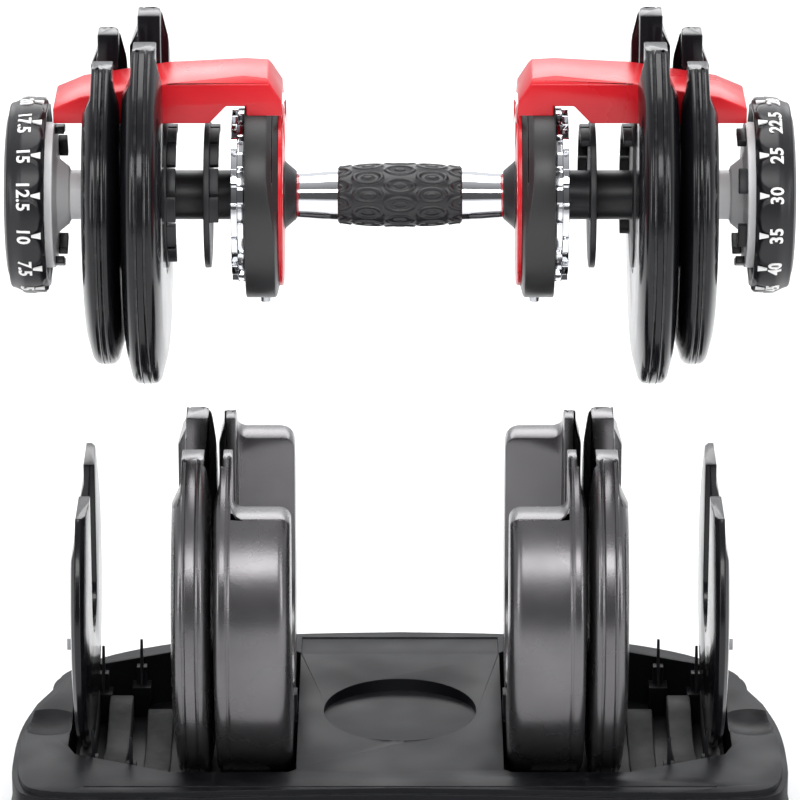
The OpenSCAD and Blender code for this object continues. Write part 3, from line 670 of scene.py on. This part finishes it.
def wrap(shape, angle):
    """Lays flat mm coordinates on the right-hand dial; u runs round it and v points inboard."""
    for vert in shape.verts:
        u, v, w = vert.co
        depth = DIGIT_DEPTH - v
        radius = float(barrel(depth)) + PROUD + w
        turn = angle + u / DIAL_R
        vert.co = ((DIAL_IN + depth) * MM, -radius * math.cos(turn) * MM, radius * math.sin(turn) * MM)


numbers = bmesh.new()
for index, words in enumerate(SETTINGS):
    digits = flat_text(words)
    bmesh.ops.scale(digits, vec=(DIGIT_HEIGHT * 0.92, DIGIT_HEIGHT, DIGIT_HEIGHT), verts=digits.verts)
    angle = math.pi / 2 - (index - SHOWN) * STEP
    for shape in (digits, wedge()):
        wrap(shape, angle)
        held = bpy.data.meshes.new("held")
        shape.to_mesh(held)
        numbers.from_mesh(held)
        bpy.data.meshes.remove(held)
        shape.free()
for side in SIDES:
    shape = numbers.copy()
    if side == "left":
        bmesh.ops.rotate(shape, cent=(0, 0, 0), matrix=Matrix.Rotation(math.pi, 3, "Z"), verts=shape.verts)
    bmesh.ops.translate(shape, vec=(0, 0, lifted_axis), verts=shape.verts)
    set_down(shape, f"{side}_dial_numbers", f"{side}_selector", "number_white", [], degrees=40.0)
numbers.free()
print("numbers faces", len(PIECES[-1].data.polygons))

# %% [markdown]
# ## The cam discs, the grip and the chrome
# The pale cam behind each dial is a thick disc on a cone. The grip is a soft sleeve, fattest in
# the middle, with staggered raised ovals; like the dial it is spun fine and then pressed out by a
# function. The chrome tapers under it want many steps round, because polished metal shows every
# flat.

# %% Cam, chrome, collar and grip
cam_in, cam_out, cam_r = span("cam_disc")[:3]
hub_r = span("selector_sleeve")[2]
cam_back = cam_out - 6.0
cam = spun([[axle_r + 0.3, cam_in], [hub_r, cam_in], [hub_r, cam_in + 8.3], [hub_r + 0.7, cam_in + 8.8],
            [hub_r + 2, cam_in + 9.2], [hub_r + 6.5, cam_back - 1.2], [hub_r + 8.5, cam_back - 0.5],
            [hub_r + 10, cam_back], [cam_r - 0.9, cam_back], [cam_r - 0.2, cam_back + 0.3], [cam_r, cam_back + 1],
            [cam_r, cam_out - 0.6], [cam_r - 0.6, cam_out], [axle_r + 0.3, cam_out]], steps=144)
both_ends(cam, "pale_cam", "selector", "cam_plastic", ["cam_disc"], lifted_axis)
tube_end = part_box("handle_tube")[1][0] / MM
grip_end, grip_r = [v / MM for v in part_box("grip")[1][:2]]
taper = [[12.2 + 1.4 * float(ramp(tube_end - x, 0, tube_end - grip_end)), x]
         for x in np.linspace(tube_end - 0.8, grip_end, 12)]
half_tube = [[axle_r + 0.1, tube_end], [11.7, tube_end], [12.0, tube_end - 0.2]] + taper
tube = spun(half_tube + [[r, -x] for r, x in reversed(half_tube)], steps=160)
set_down(tube, "chrome_tube", "handle", "chrome", ["handle_tube"], axis=lifted_axis)
collar_in, collar_out, collar_r = span("collar")[:3]
collar = spun([[axle_r + 0.1, collar_in], [12.0, collar_in], [12.6, collar_in + 0.3], [13.0, collar_in + 0.9],
               [collar_r - 0.6, collar_out - 0.9], [collar_r, collar_out - 0.5], [collar_r, collar_out],
               [axle_r + 0.1, collar_out]], steps=128)
both_ends(collar, "cone_collar", "handle", "disc_plastic", ["collar"], lifted_axis)

OVAL_LONG, OVAL_HIGH, OVAL_PITCH, OVALS_ROUND = 8.2, 4.0, 16.2, 10
grip_x = np.linspace(-grip_end + 1.1, grip_end - 1.1, 150)
swell = [float(grip_r - 0.7 - 1.7 * (1 - math.cos(math.pi / 2 * x / grip_end))) for x in grip_x]
grip_profile = [[13.65, -grip_end], [swell[0] - 1.1, -grip_end], [swell[0] - 0.35, -grip_end + 0.35]]
grip_profile += [[r, float(x)] for r, x in zip(swell, grip_x)]
grip_profile += [[swell[0] - 0.35, grip_end - 0.35], [swell[0] - 1.1, grip_end], [13.65, grip_end]]
grip = spun(grip_profile, steps=300)
for vert in grip.verts:
    x, y, z = (c / MM for c in vert.co)
    radius = math.hypot(y, z)
    if radius < 14.0 or abs(x) > grip_end - 1.0:
        continue
    column = round(x / OVAL_PITCH)
    turn = math.atan2(z, -y) / (2 * math.pi) * OVALS_ROUND + (column % 2) * 0.5
    along = (x - column * OVAL_PITCH) / OVAL_LONG
    across = (turn - round(turn)) * 2 * math.pi * radius / OVALS_ROUND / OVAL_HIGH
    ring = math.hypot(along, across)
    lens = math.hypot(along / 0.5, (abs(across) + 0.35) / 0.7)
    rise = 0.62 * float(1 - ramp(abs(ring - 0.86), 0.05, 0.17)) + 0.5 * float(1 - ramp(lens, 0.75, 1.0))
    rise -= 0.18 * float(1 - ramp(ring, 0.60, 0.75)) * float(ramp(lens, 0.95, 1.1))
    vert.co.y *= (radius + rise) / radius
    vert.co.z *= (radius + rise) / radius
set_down(grip, "oval_grip", "handle", "grip_rubber", ["grip"], axis=lifted_axis, degrees=60.0)
print("grip faces", len(PIECES[-1].data.polygons))

# %% [markdown]
# ## The end housings
# A housing is an oval shell. Its band is wide at the bottom and narrow at the top, and a soft
# S-shaped line parts it from the sloping inboard face. Rings of an oval, each at its own X, are
# joined into a skin; the S is one ring whose X changes with height.


# %% Oval shells
def ring_of(shape, a, b, x_of, steps=144):
    """An oval ring of edges in mm; x_of gives X from the height as a share of b."""
    made = bmesh.ops.create_circle(shape, segments=steps, radius=1.0)["verts"]
    for vert in made:
        y, z = vert.co.x, vert.co.y
        vert.co = (x_of(z) * MM, a * y * MM, b * z * MM)
    return list({edge for vert in made for edge in vert.link_edges})


def oval_shell(rings):
    """Joins oval rings (a, b, x_of) into one closed skin with flat ends."""
    shape = bmesh.new()
    loops = [ring_of(shape, *ring) for ring in rings]
    for one, two in zip(loops, loops[1:]):
        bmesh.ops.bridge_loops(shape, edges=one + two)
    bmesh.ops.contextual_create(shape, geom=loops[0])
    bmesh.ops.contextual_create(shape, geom=loops[-1])
    bmesh.ops.recalc_face_normals(shape, faces=shape.faces)
    return shape


def flat(x):
    return lambda share: x


def s_line(share):
    """X of the line between band and face: narrow band above, wide band below."""
    return HOUSING_IN + 1.9 + 3.8 * float(ramp(share, -0.25, 0.45))


SLOPE = 6.5
a, b = HOUSING_W, HOUSING_H
housing = oval_shell([
    (a - SLOPE, b - SLOPE, flat(HOUSING_IN)),
    (a - 1.1, b - 1.1, lambda share: s_line(share) - 0.5),
    (a - 0.3, b - 0.3, lambda share: s_line(share) + 0.1),
    (a, b, lambda share: s_line(share) + 0.9),
    (a, b, flat(HOUSING_OUT - 0.9)),
    (a - 0.3, b - 0.3, flat(HOUSING_OUT - 0.2)),
    (a - 0.9, b - 0.9, flat(HOUSING_OUT))])
spring_lo, spring_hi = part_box("right_lock_spring")
pin_x = (spring_lo[0] + spring_hi[0]) / 2 / MM
well = bmesh.new()
bmesh.ops.create_cone(well, cap_ends=True, segments=32, radius1=2.9 * MM, radius2=2.9 * MM, depth=30 * MM,
                      matrix=Matrix.Translation((pin_x * MM, 0, -b * MM)))
housing = cut(housing, pushed(oval(a - 3, b - 3), HOUSING_IN + 3, HOUSING_OUT + 1),
              spun([[0, HOUSING_IN - 1], [axle_r + 0.1, HOUSING_IN - 1], [axle_r + 0.1, HOUSING_OUT],
                    [0, HOUSING_OUT]], 48), well)
both_ends(housing, "oval_housing", "handle", "housing_plastic", ["end_housing"], lifted_axis)
rim = SLOPE - 0.4
trim = oval_shell([(a - rim - 1.6, b - rim - 1.6, flat(TRIM_IN + 0.4)),
                   (a - rim - 0.5, b - rim - 0.5, flat(TRIM_IN + 0.7)),
                   (a - rim, b - rim, flat(TRIM_IN + 1.2)), (a - rim, b - rim, flat(HOUSING_IN))])
trim = cut(trim, spun([[0, TRIM_IN - 1], [axle_r + 0.1, TRIM_IN - 1], [axle_r + 0.1, HOUSING_IN + 1],
                       [0, HOUSING_IN + 1]], 48))
both_ends(trim, "red_trim", "handle", "red_plastic", ["housing_trim"], lifted_axis)
print("housing faces", len(PIECES[-3].data.polygons))

# %% [markdown]
# ## Pieces that only need softer edges
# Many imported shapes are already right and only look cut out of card. Their mesh is copied, its
# loose triangles are merged, flat faces are melted together, and the edges that are left are
# rounded by a width that suits the part.


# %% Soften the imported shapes
def soften(node, name, body, finish_name, width, degrees=28.0):
    """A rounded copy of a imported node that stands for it."""
    shape = bmesh.new()
    shape.from_mesh(frame["nodes"][node].data)
    shape.transform(frame["nodes"][node].matrix_world)
    bmesh.ops.remove_doubles(shape, verts=shape.verts, dist=2e-6)
    bmesh.ops.recalc_face_normals(shape, faces=shape.faces)
    eased(tidy(shape), width, degrees=degrees)
    return set_down(shape, name, body, finish_name, [node], degrees=35.0)


soften("tray", "tray_shell", "tray", "tray_plastic", 0.3)
soften("tray_cradles", "cradle_pads", "tray", "foot_rubber", 0.8)
soften("tray_dividers", "divider_guides", "tray", "tray_plastic", 0.3)
soften("release_lugs", "lock_posts", "tray", "tray_plastic", 0.5)
for side in SIDES:
    soften(f"{side}_bridge_cover", f"{side}_red_bridge", "handle", "red_plastic", 0.7)
    soften(f"{side}_lift_discs", f"{side}_carrier_discs", f"{side}_selector", "disc_plastic", 0.4)
    soften(f"{side}_cam_lips", f"{side}_cam_hooks", f"{side}_selector", "disc_plastic", 0.5)
    soften(f"{side}_selector_sleeve", f"{side}_disc_sleeve", f"{side}_selector", "disc_plastic", 0.3)
    soften(f"{side}_index_disc", f"{side}_toothed_disc", f"{side}_selector", "chrome", 0.25)
    soften(f"{side}_dial_cap", f"{side}_hub_cap", f"{side}_selector", "dial_plastic", 0.3)
print("softened", len(PIECES))

# %% [markdown]
# ## Inner and small pieces
# The axle, the springs, the screws and the steel tabs are hardly seen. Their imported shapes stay,
# and each only takes the finish that its record slot asks for.

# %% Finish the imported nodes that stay
for node in frame["nodes"].values():
    for packed in node.material_slots:
        packed.material = FINISHES[packed.material.name.split(".")[0]]
print("nodes finished", len(frame["nodes"]))
